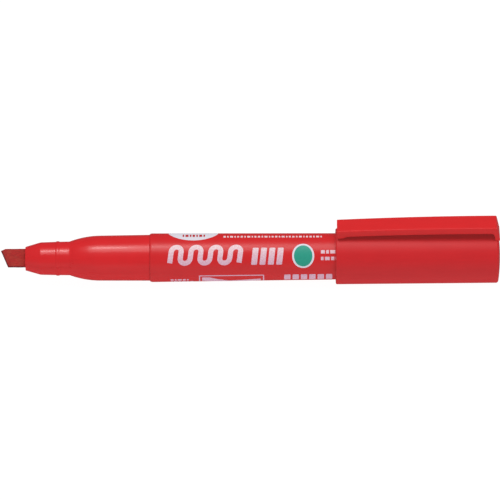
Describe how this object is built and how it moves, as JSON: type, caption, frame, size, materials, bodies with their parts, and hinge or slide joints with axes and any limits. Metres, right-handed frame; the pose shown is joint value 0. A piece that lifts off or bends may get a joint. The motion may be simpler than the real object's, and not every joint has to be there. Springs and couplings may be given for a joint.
{
  "type": "felt tip marker",
  "caption": "Felt tip marker with a broad chisel nib in a tapered nose, a printed round barrel, and a cap with a full-length clip pushed onto the tail.",
  "frame": {"origin": "on the barrel's axis at the middle of the marker's volume", "axes": "+X along the barrel from the nib to the tail and the cap's closed end, +Z towards the clip"},
  "size_m": [0.1497, 0.0168, 0.0206],
  "materials": {
    "felt": "compressed felt soaked with red ink",
    "red_plastic": "glossy moulded plastic",
    "label_film": "printed film, slightly duller than the mouldings",
    "fibre": "ink-soaked fibre",
    "clear_film": "thin clear film",
    "milky_plastic": "milky natural plastic"
  },
  "bodies": {
    "marker": {"nib": "felt", "front_section": "red_plastic", "barrel": "red_plastic", "label_sleeve": "label_film", "ink_reservoir": "fibre", "reservoir_film": "clear_film"},
    "cap": {"cap": "red_plastic", "inner_cap": "milky_plastic"},
    "clip": {"clip": "red_plastic"}
  },
  "joints": [
    {"name": "cap_slide", "type": "slide", "parent": "marker", "child": "cap", "axis": [1, 0, 0], "range_m": [0, 0.035]},
    {"name": "clip_flex", "type": "hinge", "parent": "cap", "child": "clip", "pos_m": [0.0637, 0, 0.01128], "axis": [0, 1, 0], "range_deg": [0, 3], "stiffness_Nm_per_rad": 1}
  ]
}
